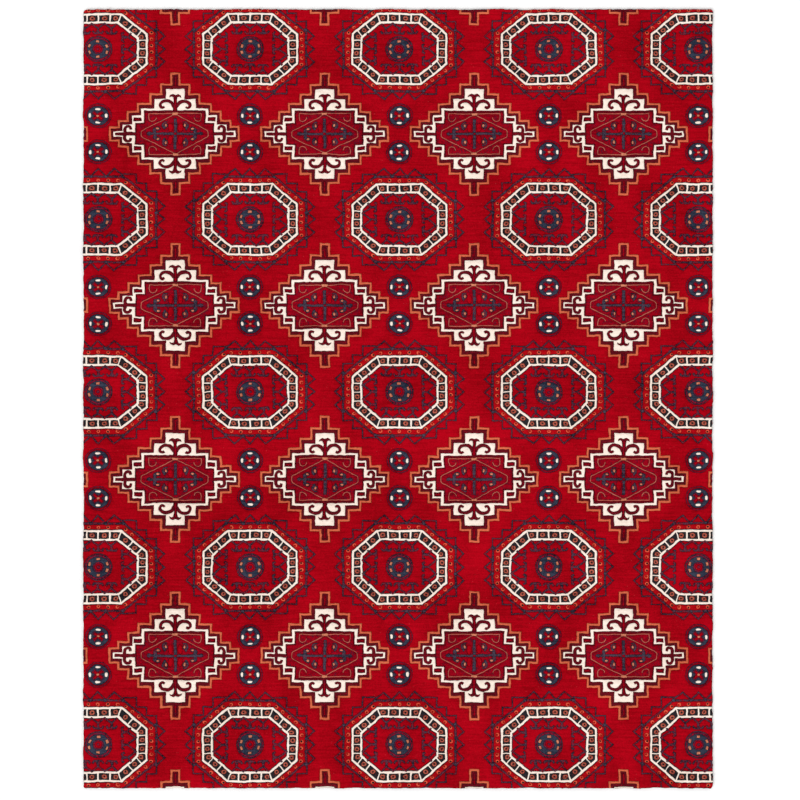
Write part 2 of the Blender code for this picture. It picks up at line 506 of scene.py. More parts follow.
def curve(points: Sequence[tuple[float, float]], steps: int = 2) -> np.ndarray:
    """A smooth line through points.

    Args:
        points: the points it passes through.
        steps: how many pieces each span is cut into.
    Returns:
        The line's points.
    """
    p = np.array(points, float)
    p = np.vstack([2 * p[0] - p[1], p, 2 * p[-1] - p[-2]])
    t = np.linspace(0, 1, steps, endpoint=False)[:, None]
    spans = [
        0.5 * (2 * b + (c - a) * t + (2 * a - 5 * b + 4 * c - d) * t**2 + (3 * b - a - 3 * c + d) * t**3)
        for a, b, c, d in zip(p[:-3], p[1:-2], p[2:-1], p[3:])
    ]
    return np.vstack([*spans, p[-2:-1]])


def ribbon(line: object, width: object) -> Outline:
    """A band of yarn along a line.

    Args:
        line: the points of its middle.
        width: its width, one number or one for each end, between which it tapers.
    Returns:
        The band's outline.
    """
    p = np.array(line, float)
    start, end = np.broadcast_to(width, 2) / 2
    half = np.linspace(start, end, len(p))[:, None]
    run = np.diff(p, axis=0)
    run /= np.linalg.norm(run, axis=1)[:, None]
    side = np.stack([-run[:, 1], run[:, 0]], 1)
    first, second = np.vstack([side[:1], side]), np.vstack([side, side[-1:]])
    mitre = (first + second) / np.maximum(1 + (first * second).sum(1), 0.5)[:, None]
    return np.vstack([p + mitre * half, (p - mitre * half)[::-1]])


def mirrored(quarter: Sequence[tuple[float, float]]) -> Outline:
    """A closed outline from its quarter, which runs from the top round to the side."""
    q = np.array(quarter, float)
    right = np.vstack([q, (q * (1, -1))[::-1]])
    return np.vstack([right, (right * (-1, 1))[::-1]])


def stair(steps: Sequence[tuple[float, float]], shrink: float = 0.0) -> Outline:
    """A stepped diamond.

    Args:
        steps: (half width, half height) of each step, from the top.
        shrink: how far the outline lies inside those steps.
    Returns:
        The outline.
    """
    quarter: list[tuple[float, float]] = []
    for (width, height), after in zip(steps, [*steps[1:], None]):
        quarter.append((width - shrink, height - shrink))
        if after:
            quarter.append((width - shrink, after[1] - shrink))
    return mirrored(quarter)


def inside(points: np.ndarray, outline: Outline) -> np.ndarray:
    """Which points lie inside an outline, by the nonzero winding rule."""
    turns = np.zeros(len(points), int)
    x, y = points.T
    for (x0, y0), (x1, y1) in zip(outline, np.roll(outline, -1, 0)):
        left = (x1 - x0) * (y - y0) - (x - x0) * (y1 - y0)
        turns += (y0 <= y) & (y1 > y) & (left > 0)
        turns -= (y0 > y) & (y1 <= y) & (left < 0)
    return turns != 0


def divided(outline: Outline, step: float) -> np.ndarray:
    """An outline with points added, so that no side is longer than step."""
    ends = np.roll(outline, -1, 0)
    rows = []
    for a, b in zip(outline, ends):
        count = max(1, math.ceil(float(np.linalg.norm(b - a)) / step - 0.01))
        rows.append(a + (b - a) * (np.arange(count) / count)[:, None])
    return np.vstack(rows)


# --------------------------------------------------------------------------- the design


class Area(Enum):
    """The separate areas of pile: what each is called, its yarn and what it belongs to."""

    GROUND = ("ground_pile_crimson", Yarn.CRIMSON, "ground")
    OCTAGON_FIELDS = ("octagon_fields_crimson", Yarn.CRIMSON, "octagon")
    BEAD_BANDS = ("octagon_bead_bands_scarlet", Yarn.SCARLET, "octagon")
    OCTAGON_FRAMES = ("octagon_frames_ivory", Yarn.IVORY, "octagon")
    CELLS = ("octagon_cells_charcoal", Yarn.CHARCOAL, "octagon")
    CELL_RINGS = ("octagon_cell_rings_rust", Yarn.RUST, "octagon")
    BEADS = ("octagon_beads_coral", Yarn.CORAL, "octagon")
    BORDERS = ("octagon_borders_indigo", Yarn.INDIGO, "octagon")
    ANCHORS = ("octagon_anchors_indigo", Yarn.INDIGO, "octagon")
    KNOTS = ("octagon_knots_slate", Yarn.SLATE, "octagon")
    WHEELS = ("rosette_wheels_navy", Yarn.NAVY, "octagon")
    HALOS = ("rosette_halos_plum", Yarn.PLUM, "octagon")
    SPOTS = ("rosette_spots_apricot", Yarn.APRICOT, "octagon")
    STAIRS = ("diamond_stairs_terracotta", Yarn.TERRACOTTA, "diamond")
    BANDS = ("diamond_bands_wine", Yarn.WINE, "diamond")
    DIAMOND_FRAMES = ("diamond_frames_ivory", Yarn.IVORY, "diamond")
    DIAMOND_FIELDS = ("diamond_fields_garnet", Yarn.GARNET, "diamond")
    TRACERY = ("diamond_tracery_tan", Yarn.TAN, "diamond")
    CROSSES = ("diamond_crosses_slate", Yarn.SLATE, "diamond")
    PETALS = ("diamond_petals_crimson", Yarn.CRIMSON, "diamond")
    BUDS = ("diamond_buds_apricot", Yarn.APRICOT, "diamond")
    SMALL_WHEELS = ("small_rosettes_navy", Yarn.NAVY, "ground")
    SMALL_HALOS = ("small_rosette_halos_plum", Yarn.PLUM, "ground")
    SMALL_SPOTS = ("small_rosette_spots_ivory", Yarn.IVORY, "ground")

    @property
    def title(self) -> str:
        """The piece's name."""
        return self.value[0]

    @property
    def yarn(self) -> Yarn:
        """The piece's yarn."""
        return self.value[1]

    @property
    def motif(self) -> str:
        """The kind of CAD node that the piece stands for."""
        return self.value[2]


Paint = Callable[[Area, Outline], None]


@dataclass
class Design:
    """The quarter of a repeat, with an octagon's centre at its origin and a diamond's opposite.

    Attributes:
        width: from octagon column to diamond column.
        height: from octagon row to diamond row.
        step: the longest side of an outline.
        line_step: the same for a thin line of yarn.
        grain: the distance between the points inside an area.
        clearance: how far those points keep from the outlines' points.
        patches: the areas and outlines that were painted, in order.
    """

    width: float
    height: float
    step: float = 6.5 * MM
    line_step: float = 9.5 * MM
    grain: float = 14.6 * MM
    clearance: float = 5.5 * MM
    patches: list[tuple[Area, Outline]] = field(default_factory=list)

    def brush(self, centre: tuple[float, float], facing: float = 1.0) -> Paint:
        """A function that adds patches in a motif's own axes.

        Args:
            centre: the motif's centre, in metres.
            facing: 1 where the motif's axes follow the design's, -1 where they are turned round.
        Returns:
            The function, which takes an area and an outline in millimetres.
        """
        def paint(area: Area, outline: Outline) -> None:
            """Adds one patch over those before it."""
            self.patches.append((area, np.array(centre) + facing * MM * outline))

        return paint

    def corners(self) -> tuple[np.ndarray, np.ndarray]:
        """The points and sides of every outline, in the quarter and just round it.

        Returns:
            The points, and pairs of point numbers.
        """
        points, sides = [], []
        start = 0
        frame_line = box_outline((self.width / 2, self.height / 2), self.width, self.height)
        for area, outline in [(None, frame_line), *self.patches]:
            thin = area in (Area.BORDERS, Area.ANCHORS, Area.TRACERY)
            line = divided(outline, self.line_step if thin else self.step)
            number = np.arange(len(line))
            points.append(line)
            sides.append(np.stack([number, np.roll(number, -1)], 1) + start)
            start += len(line)
        return np.vstack(points), np.vstack(sides)

    def filling(self, corners: np.ndarray) -> np.ndarray:
        """Staggered points inside the quarter, clear of every outline's points."""
        rows = []
        pitch = self.grain * math.sqrt(3) / 2
        for row in range(1, int(self.height / pitch) + 1):
            x = np.arange(self.grain * (0.5 + 0.5 * (row % 2)), self.width, self.grain)
            rows.append(np.stack([x, np.full_like(x, row * pitch)], 1))
        points = np.vstack(rows)
        edge = np.minimum(points, (self.width, self.height) - points).min(1) > self.clearance
        gap = np.min(np.linalg.norm(points[:, None] - corners[None], axis=2), axis=1)
        return points[edge & (gap > self.clearance)]

    def triangles(self) -> tuple[np.ndarray, np.ndarray, np.ndarray]:
        """Cuts the quarter into triangles that each lie in one area.

        Returns:
            The points, the triangles, and each triangle's place in the list of areas.
        """
        corners, sides = self.corners()
        points = np.vstack([corners, self.filling(corners)])
        cut = geometry.delaunay_2d_cdt([Vector(p) for p in points], sides.tolist(), [], 0, 1e-6, False)
        found = np.array([tuple(p) for p in cut[0]])
        faces = np.array(cut[2])
        a, b, c = (found[faces[:, i]] for i in range(3))
        middle = (a + b + c) / 3
        size = (b[:, 0] - a[:, 0]) * (c[:, 1] - a[:, 1]) - (b[:, 1] - a[:, 1]) * (c[:, 0] - a[:, 0])
        faces[size < 0] = faces[size < 0][:, ::-1]
        keep = (middle > 0).all(1) & (middle < (self.width, self.height)).all(1)
        faces, middle = faces[keep], middle[keep]
        order = list(Area)
        owner = np.zeros(len(faces), int)
        for area, outline in self.patches:
            owner[inside(middle, outline)] = order.index(area)
        return found, faces, owner


@dataclass
class OctagonMedallion:
    """The octagon motif, drawn about its centre in millimetres."""

    half_width: float
    half_height: float
    top_half: float = 88
    side_half: float = 61
    line: float = 8.8
    cells: float = 24.4
    edging: float = 2.4
    outer_half_width: float = 222
    outer_half_height: float = 172
    outer_top_half: float = 96
    outer_side_half: float = 68
    border_line: float = 8.4
    zigzag_line: float = 6.0
    anchor_line: float = 8.2
    top_fluke: tuple = ((-21, 72), (-15, 63), (0, 62), (15, 63), (21, 72))
    side_fluke: tuple = ((98, -19), (90, -14), (91.5, 0), (90, 14), (98, 18))
    shank: tuple[float, float] = (15, 5)

    def ring(self, shrink: float) -> Outline:
        """The octagon, drawn a distance inside its outer edge."""
        slant = math.atan2(self.half_height - self.side_half, self.half_width - self.top_half)
        top = self.top_half - shrink * math.tan(slant / 2)
        side = self.side_half - shrink * math.tan((math.pi / 2 - slant) / 2)
        return mirrored([(top, self.half_height - shrink), (self.half_width - shrink, side)])

    def draw(self, paint: Paint) -> None:
        """Draws the whole medallion."""
        self.draw_surround(paint)
        self.draw_frame(paint)
        self.draw_field(paint)
        self.draw_wheel(paint)

    def draw_surround(self, paint: Paint) -> None:
        """Draws the zigzags, the steps and the scarlet band with its beads."""
        x, y = self.outer_half_width, self.outer_half_height
        top, side = self.outer_top_half, self.outer_side_half
        above = [(-29, y - 3), (0, y + 27), (29, y - 3), (59, y + 27), (95, y - 1)]
        beside = [(x - 2, -25), (x + 27, 0), (x - 2, 25), (x + 27, 50), (x - 1, 76)]
        steps = [(92, 178), (143, 178), (143, 142), (181, 142), (181, 110), (219, 110), (219, 68)]
        for line, width in ((above, 1.0), (beside, 1.0), (steps, 0.9)):
            paint(Area.BORDERS, ribbon(line, self.zigzag_line * width))
        paint(Area.BORDERS, mirrored([(top, y), (x, side)]))
        inner = self.border_line
        band = [(top - inner * 0.35, y - inner), (x - inner, side - inner * 0.45)]
        paint(Area.BEAD_BANDS, mirrored(band))
        for knot in ((28, 168), (94, 167), (218, 25), (217, 76)):
            paint(Area.KNOTS, oval(knot, 15, 13.5, 7))
        beads = [(0, 153), (37, 153), (73, 152.5), (103.5, 143), (127, 124.5), (152, 105.5), (177, 85)]
        beads += [(198.5, 63), (199.5, 38), (199.5, 12.5)]
        for number, (px, py) in enumerate(beads):
            eye = (px + 1.7 * (number % 3 - 1), py + 1.3 * (number % 2 * 2 - 1))
            paint(Area.BEADS, oval((px, py), 16.5, 15, 8))
            paint(Area.CELLS if number % 2 else Area.BEAD_BANDS, oval(eye, 8, 7, 5))

    def draw_frame(self, paint: Paint) -> None:
        """Draws the ivory lines and bars and the cells between them."""
        paint(Area.BORDERS, self.ring(-self.edging))
        paint(Area.OCTAGON_FRAMES, self.ring(0.0))
        paint(Area.CELLS, self.ring(self.line))
        inner = self.line + self.cells
        corner, shoulder = self.ring(self.line + self.cells / 2)[:2]
        slope = (shoulder - corner) / np.linalg.norm(shoulder - corner)
        across = np.array((-slope[1], slope[0])) * self.cells * 0.62
        top, foot = (self.half_height - edge for edge in (self.line - 1, inner + 1))
        outer, near = (self.half_width - edge for edge in (self.line - 1, inner + 1))
        bars = [([(px, top), (px, foot)], 7.0) for px in (0, 44)]
        bars += [([(outer, py), (near, py)], 4.8) for py in (0, 34)]
        bars += [([self.ring(self.line / 2)[0], self.ring(inner + self.line / 2)[0]], 6.0)]
        bars += [([corner + slope * d + across, corner + slope * d - across], 5.4) for d in (53, 95)]
        for line, width in bars:
            paint(Area.OCTAGON_FRAMES, ribbon(line, width))
        rings = [(23.5, 122, 22), (65, 122, 21), (102, 103, 21)]
        rings += [(136.5, 74, 21), (161, 47.5, 20), (165.5, 17, 20.5)]
        for px, py, wide in rings:
            paint(Area.CELL_RINGS, oval((px, py), wide, 18.8, 8, 0.85))
            paint(Area.CELLS, oval((px, py), 8, 6.5, 5))

    def draw_field(self, paint: Paint) -> None:
        """Draws the inner ivory line, the red field and its linked anchors."""
        inner = self.line + self.cells
        paint(Area.OCTAGON_FRAMES, self.ring(inner))
        paint(Area.ANCHORS, self.ring(inner + self.line))
        paint(Area.OCTAGON_FIELDS, self.ring(inner + self.line + self.edging))
        edge = self.half_height - inner - self.line
        wall = self.half_width - inner - self.line
        stroke, thin = self.anchor_line, self.anchor_line * 0.85
        for px in (0, 51):
            paint(Area.ANCHORS, ribbon([(px + ax, ay) for ax, ay in self.top_fluke], stroke))
            paint(Area.ANCHORS, ribbon([(px, 60), (px, 88)], self.shank))
        paint(Area.ANCHORS, ribbon([(-25, edge), (0, 82), (25, edge), (51, 82), (70, edge)], thin))
        for py in (0, 48):
            paint(Area.ANCHORS, ribbon([(ax, py + ay) for ax, ay in self.side_fluke], stroke))
            paint(Area.ANCHORS, ribbon([(88.5, py), (114, py)], self.shank))
        side = [(wall - 2, -26), (110, 0), (wall - 2, 26), (110, 48), (wall - 20, 64)]
        paint(Area.ANCHORS, ribbon(side, thin))
        paint(Area.ANCHORS, oval((wall - 4, 26), 12, 13, 8))

    def draw_wheel(self, paint: Paint) -> None:
        """Draws the rosette at the centre."""
        wheel = [(Area.ANCHORS, 108, 105, 26), (Area.HALOS, 98, 95, 26), (Area.WHEELS, 88, 81, 24)]
        wheel += [(Area.HALOS, 41, 40, 14), (Area.OCTAGON_FIELDS, 28, 27, 12), (Area.HALOS, 14, 13, 8)]
        for area, wide, high, sides in wheel:
            paint(area, oval((0, 0), wide, high, sides))
        for px, py in ((0, 31), (33.5, 12.5)):
            spot = np.array((px, py))
            along = np.array((py, -px)) / math.hypot(px, py) * 7
            paint(Area.SPOTS, ribbon([spot - along, spot, spot + along], 9.5))


@dataclass
class SmallRosette:
    """The little navy rosette, one above and one below each diamond row, in millimetres."""

    away: float = 72
    width: float = 80
    height: float = 75

    def disc(self, more: float, sides: int, square: float) -> Outline:
        """The rosette's round outline, made wider and higher by a length."""
        return oval((0, 0), self.width + more, self.height + more, sides, square)

    def draw(self, paint: Paint) -> None:
        """Draws the rosette about its own centre."""
        paint(Area.SMALL_HALOS, self.disc(21, 24, 1.0))
        paint(Area.GROUND, self.disc(13, 24, 1.0))
        paint(Area.SMALL_HALOS, self.disc(5, 20, 0.94))
        paint(Area.SMALL_WHEELS, self.disc(0, 20, 0.94))
        for way in (1, -1):
            paint(Area.SMALL_SPOTS, oval((0, way * 26.5), 22, 9.5, 8, 0.8))
            paint(Area.SMALL_SPOTS, oval((way * 31, 0), 11, 19, 8, 0.8))
        for area, reach, width in ((Area.SMALL_HALOS, 1.12, 15.5), (Area.GROUND, 0.9, 8.5)):
            for petal in (np.array((17, 14)) * reach, np.array((17, -14)) * reach):
                paint(area, ribbon([-petal, petal], width))
        paint(Area.SPOTS, oval((0, 0), 11, 10, 7))


@dataclass
class DiamondMedallion:
    """The stepped diamond motif, drawn about its centre in millimetres."""

    line: float = 8.8
    tracery: float = 4.2
    steps: tuple = ((20, 244), (58, 199), (98, 161), (143, 123), (181, 91), (217, 55), (250, 31))
    ivory_steps: tuple = (
        (36.5, 177.5), (79.5, 138.5), (128, 101), (161.5, 72.5), (198.5, 36.5), (233.5, 11.6),
    )
    edge_steps: tuple = ((116.5, 92.5), (150, 43))
    field_steps: tuple = ((112.5, 85.5), (146, 39))

    def draw(self, paint: Paint) -> None:
        """Draws the whole medallion."""
        self.draw_bands(paint)
        self.draw_horns(paint)
        self.draw_tips(paint)
        self.draw_field(paint)
        self.draw_cross(paint)

    def draw_bands(self, paint: Paint) -> None:
        """Draws the terracotta line, the wine band and the ivory frame."""
        paint(Area.STAIRS, stair(self.steps))
        paint(Area.BANDS, stair(self.steps, self.line))
        paint(Area.DIAMOND_FIELDS, box_outline((0, 208), 6.5, 40))
        paint(Area.DIAMOND_FRAMES, stair(self.ivory_steps))
        paint(Area.BANDS, box_outline((140.5, 57), 30, 15))
        paint(Area.DIAMOND_FIELDS, box_outline((140.5, 57), 21, 6.5))

    def draw_horns(self, paint: Paint) -> None:
        """Draws the stem and the ram's horns at the top, in the ivory."""
        horn = [(4, 108), (13, 121), (24, 128.5), (38, 130), (50, 126), (57, 117)]
        horn += [(56, 107), (48, 103), (41, 107)]
        for side in (1, -1):
            paint(Area.BANDS, ribbon(curve([(side * hx, hy) for hx, hy in horn]), (14, 8.5)))
        stem = [(8.5, 88), (8.3, 103), (6.4, 119), (6, 134), (8.8, 146), (16, 148.5), (24, 144)]
        stem += [(20.5, 152.5), (10.5, 157.5), (0, 153.5)]
        paint(Area.BANDS, polygon(*stem, *[(-sx, sy) for sx, sy in stem[-2::-1]]))
        paint(Area.DIAMOND_FIELDS, ribbon([(0, 84), (0, 118), (0, 147)], (9.5, 5.5)))

    def draw_tips(self, paint: Paint) -> None:
        """Draws the bar and the curls at the side, in the ivory."""
        paint(Area.BANDS, ribbon([(146, 0), (226, 0)], (13, 11)))
        curl = [(187, 3), (189.5, 15), (186.5, 25), (177.5, 29), (169.5, 25.5), (166.5, 16)]
        for side in (1, -1):
            paint(Area.BANDS, ribbon(curve([(cx, side * cy) for cx, cy in curl]), (12, 9)))

    def draw_field(self, paint: Paint) -> None:
        """Draws the red field with its wine edge and tan tracery."""
        paint(Area.BANDS, stair(self.edge_steps))
        paint(Area.DIAMOND_FIELDS, stair(self.field_steps))
        roof = [(0, 78), (64, 44.5), (124.5, 13), (127.5, 8), (127.5, -8)]
        hook = [(0, 80.5), (98.5, 80.5), (99.5, 66), (96, 53), (87, 49), (77, 53), (71.5, 61), (71.5, 66)]
        for side in (1, -1):
            for line in (roof, hook):
                paint(Area.TRACERY, ribbon([(side * x, y) for x, y in line], self.tracery))
        paint(Area.BUDS, polygon((-13, 84), (-10, 74), (10, 74), (13, 84)))

    def draw_cross(self, paint: Paint) -> None:
        """Draws the dark cross, its collars, its petals and its buds."""
        collar = [(29, 46), (40, 46), (47, 38), (46, 27), (38, 17)]
        paint(Area.CROSSES, ribbon(curve(collar), (4, 8)))
        paint(Area.PETALS, oval((18.5, 24), 19, 36, 10))
        paint(Area.CROSSES, ribbon([(0, -60), (0, 60)], 11.5))
        paint(Area.CROSSES, ribbon([(-107, 0), (107, 0)], 9.5))
        paint(Area.CROSSES, polygon((76, 25), (84, 17), (82, 0), (84, -17), (76, -25), (70, -17), (70, 17)))
        paint(Area.CROSSES, ribbon([(98, -7), (98, 7)], 8))
        for bx, by, wide, high in ((36, 33, 9, 14), (66, 20, 13, 9)):
            paint(Area.CROSSES, oval((bx, by), wide + 7, high + 7, 9))
            paint(Area.BUDS, oval((bx, by), wide, high, 8))
        paint(Area.DIAMOND_FIELDS, oval((0, 0), 12, 11, 8))


# --------------------------------------------------------------------------- unevenness


@dataclass
class Drift:
    """Smooth, repeatable unevenness over the rug.

    Attributes:
        seed: the seed of its random lattice.
        length: the distance between its lattice points.
        amount: its largest value.
    """

    seed: int
    length: float
    amount: float
    lattice: int = 512

    def __call__(self, points: np.ndarray) -> np.ndarray:
        """The unevenness at each point.

        Args:
            points: positions, of which x and y are used.
        Returns:
            One value for each point.
        """
        values = np.random.default_rng(self.seed).uniform(-1, 1, (self.lattice, self.lattice))
        at = points[:, :2] / self.length + self.lattice / 2
        cell = np.floor(at).astype(int)
        part = at - cell
        part = part * part * (3 - 2 * part)
        near, far = cell % self.lattice, (cell + 1) % self.lattice
        low = values[near[:, 0], near[:, 1]] * (1 - part[:, 0]) + values[far[:, 0], near[:, 1]] * part[:, 0]
        high = values[near[:, 0], far[:, 1]] * (1 - part[:, 0]) + values[far[:, 0], far[:, 1]] * part[:, 0]
        return self.amount * (low * (1 - part[:, 1]) + high * part[:, 1])


HAND_X = (Drift(3, 55 * MM, 1.9 * MM), Drift(5, 11 * MM, 1.5 * MM))
HAND_Y = (Drift(7, 55 * MM, 1.9 * MM), Drift(11, 11 * MM, 1.5 * MM))
NAP = (Drift(13, 240 * MM, 0.5 * MM), Drift(17, 28 * MM, 0.35 * MM))


def total(drifts: Sequence[Drift], points: np.ndarray) -> np.ndarray:
    """The sum of several drifts at each point."""
    return sum(drift(points) for drift in drifts)


# --------------------------------------------------------------------------- meshes


def make_object(
    title: str, points: np.ndarray, faces: Sequence[np.ndarray], material: bpy.types.Material,
    sharp: float = 0.0,
) -> bpy.types.Object:
    """Makes a mesh object.

    Args:
        title: the object's name.
        points: its points.
        faces: arrays of faces, each array with faces of one number of corners.
        material: its material.
        sharp: the angle in degrees above which an edge is sharp, or 0 for flat faces.
    Returns:
        The object, in the scene's collection.
    """
    mesh = bpy.data.meshes.new(title)
    sizes = np.concatenate([np.full(len(part), part.shape[1]) for part in faces])
    corners = np.concatenate([part.ravel() for part in faces])
    mesh.vertices.add(len(points))
    mesh.vertices.foreach_set("co", points.astype(np.float32).ravel())
    mesh.loops.add(len(corners))
    mesh.loops.foreach_set("vertex_index", corners.astype(np.int32))
    mesh.polygons.add(len(sizes))
    mesh.polygons.foreach_set("loop_start", np.concatenate([[0], np.cumsum(sizes)[:-1]]).astype(np.int32))
    mesh.update(calc_edges=True)
    mesh.validate()
    mesh.materials.append(material)
    if sharp:
        mesh.shade_smooth()
        mesh.set_sharp_from_angle(angle=math.radians(sharp))
    made = bpy.data.objects.new(title, mesh)
    bpy.context.scene.collection.objects.link(made)
    return made


def seat(piece: bpy.types.Object, nodes: Sequence[str]) -> bpy.types.Object:
    """Makes a piece ride on the rug and stand for CAD nodes, which it hides."""
    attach(piece, BODY)
    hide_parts(*nodes)
    log.info("%s: %d faces, stands for %d nodes", piece.name, len(piece.data.polygons), len(nodes))
    return piece


@dataclass
class PileProfile:
    """How an area of pile ends at a carved groove.

    Attributes:
        levels: (distance inside the area's edge, drop below the top) from the top down.
        gap: the distance from the area's edge to its wall.
    """

    levels: tuple = ((1.2 * MM, 0.0), (0.1 * MM, 2.7 * MM))
    gap: float = 0.1 * MM


def open_sides(faces: np.ndarray, count: int) -> np.ndarray:
    """The sides that only one triangle has, as pairs of point numbers below count."""
    sides = np.vstack([faces[:, [0, 1]], faces[:, [1, 2]], faces[:, [2, 0]]])
    return sides[~np.isin(sides[:, 1] * count + sides[:, 0], sides[:, 0] * count + sides[:, 1])]


def without_pinches(faces: np.ndarray, count: int) -> tuple[np.ndarray, np.ndarray]:
    """Gives each fan of triangles at a shared point its own copy of that point.

    Args:
        faces: the triangles of one area.
        count: how many points there are.
    Returns:
        The triangles, and which point each point number now stands for.
    """
    starts, times = np.unique(open_sides(faces, count)[:, 0], return_counts=True)
    source = list(range(count))
    faces = faces.copy()
    for point in starts[times > 1]:
        around = np.flatnonzero((faces == point).any(1))
        fans: list[set[int]] = []
        members: list[list[int]] = []
        for face in around:
            rim = set(faces[face].tolist()) - {point}
            touching = [i for i, fan in enumerate(fans) if fan & rim]
            for i in reversed(touching[1:]):
                fans[touching[0]] |= fans.pop(i)
                members[touching[0]] += members.pop(i)
            if touching:
                fans[touching[0]] |= rim
                members[touching[0]].append(face)
            else:
                fans.append(rim)
                members.append([face])
        for fan in members[1:]:
            part = faces[fan]
            part[part == point] = len(source)
            faces[fan] = part
            source.append(int(point))
    return faces, np.array(source)


def raised(
    points: np.ndarray, faces: np.ndarray, top: np.ndarray, base: float, profile: PileProfile,
) -> tuple[np.ndarray, list[np.ndarray]]:
    """Raises flat triangles into a closed area of pile with a rounded, carved edge.

    Args:
        points: the flat points, x and y.
        faces: the area's triangles, counter-clockwise.
        top: the height of the pile at each point.
        base: the height that the pile stands on.
        profile: how the area ends at its edge.
    Returns:
        The solid's points and its faces.
    """
    faces, source = without_pinches(faces, len(points))
    used, faces = np.unique(faces, return_inverse=True)
    faces = faces.reshape(-1, 3)
    flat, high = points[source[used]], top[source[used]]
    count = len(flat)
    rim = open_sides(faces, count)
    run = flat[rim[:, 1]] - flat[rim[:, 0]]
    run /= np.maximum(np.linalg.norm(run, axis=1), 1e-9)[:, None]
    normal = np.stack([-run[:, 1], run[:, 0]], 1)
    first, second = np.zeros((count, 2)), np.zeros((count, 2))
    first[rim[:, 1]], second[rim[:, 0]] = normal, normal
    inward = (first + second) / np.maximum(1 + (first * second).sum(1), 0.6)[:, None]
    at_rim = np.flatnonzero(np.abs(first).sum(1) + np.abs(second).sum(1))
    place = np.zeros(count, int)
    place[at_rim] = np.arange(len(at_rim))
    near = inward[at_rim]
    (inset, _), *lower = profile.levels
    top_flat = flat.copy()
    top_flat[at_rim] += near * inset
    rows = [np.column_stack([top_flat, high])]
    names = [np.arange(count)]
    for depth, drop in lower:
        names.append(sum(len(row) for row in rows) + place)
        rows.append(np.column_stack([flat[at_rim] + near * depth, high[at_rim] - drop]))
    names.append(sum(len(row) for row in rows) + np.arange(count))
    low_flat = flat.copy()
    low_flat[at_rim] += near * profile.gap
    rows.append(np.column_stack([low_flat, np.full(count, base)]))
    a, b = rim.T
    walls = [np.stack([up[b], up[a], down[a], down[b]], 1) for up, down in zip(names[:-1], names[1:])]
    return np.vstack(rows), [faces, np.vstack(walls), names[-1][faces[:, ::-1]]]


# --------------------------------------------------------------------------- the pile


FIRST_COLUMN_SHIFT = 10 * MM
JOINING_DISTANCE = 0.02 * MM


@dataclass
class Lattice:
    """Where the columns and rows of medallions lie, read from the frame.

    The rug's first octagon column, and the column beyond it, lie a little further out than the
    others' spacing would have them.

    Attributes:
        columns: x of every octagon and diamond column in turn, from the left.
        rows: y of every octagon and diamond row in turn, from the top.
    """

    columns: np.ndarray
    rows: np.ndarray

    @classmethod
    def from_frame(cls) -> "Lattice":
        """Reads the lattice from the medallions' CAD nodes."""
        def middle(node: str, axis: int) -> float:
            """The middle of a node's box along one axis."""
            low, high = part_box(node)
            return (low[axis] + high[axis]) / 2

        columns = [middle(f"diamond_medallion_r1c{c}", 0) for c in range(1, 5)]
        spacing = (columns[-1] - columns[0]) / (len(columns) - 1)
        x = columns[0] + spacing / 2 * np.arange(-2, 2 * len(columns) + 1)
        x[:2] -= FIRST_COLUMN_SHIFT
        octagons = [middle(f"octagon_medallion_r{r}c2", 1) for r in range(1, 6)]
        diamonds = [middle(f"diamond_medallion_r{r}c1", 1) for r in range(1, 5)]
        y = [value for pair in zip(octagons, diamonds) for value in pair] + octagons[-1:]
        y = [2 * y[0] - y[1], *y, 2 * y[-1] - y[-2]]
        return cls(x, np.array(y))

    def repeat(self, design: Design, points: np.ndarray, faces: np.ndarray, owner: np.ndarray) -> tuple:
        """Mirrors the quarter over the whole lattice.

        Args:
            design: the quarter's design, for its size.
            points: the quarter's points.
            faces: its triangles.
            owner: each triangle's area.
        Returns:
            The points, triangles and areas of the whole sheet, with shared points joined.
        """
        all_points, all_faces, all_owners = [], [], []
        for i, (x0, x1) in enumerate(zip(self.columns[:-1], self.columns[1:])):
            from_x, to_x = (x0, x1) if i % 2 else (x1, x0)
            for j, (y0, y1) in enumerate(zip(self.rows[:-1], self.rows[1:])):
                from_y, to_y = (y0, y1) if j % 2 else (y1, y0)
                scale = np.array(((to_x - from_x) / design.width, (to_y - from_y) / design.height))
                start = len(points) * len(all_points)
                all_points.append(points * scale + (from_x, from_y))
                turned = faces if scale[0] * scale[1] > 0 else faces[:, ::-1]
                all_faces.append(turned + start)
                all_owners.append(owner)
        flat = np.vstack(all_points)
        key = np.round(flat / JOINING_DISTANCE).astype(np.int64)
        _, first, joined = np.unique(key[:, 0] * 10**7 + key[:, 1], return_index=True, return_inverse=True)
        sheet = joined[np.vstack(all_faces)]
        # Joining close points can flatten a thin triangle into a line, which is left out.
        whole = (sheet != np.roll(sheet, 1, 1)).all(1)
        return flat[first], sheet[whole], np.concatenate(all_owners)[whole]


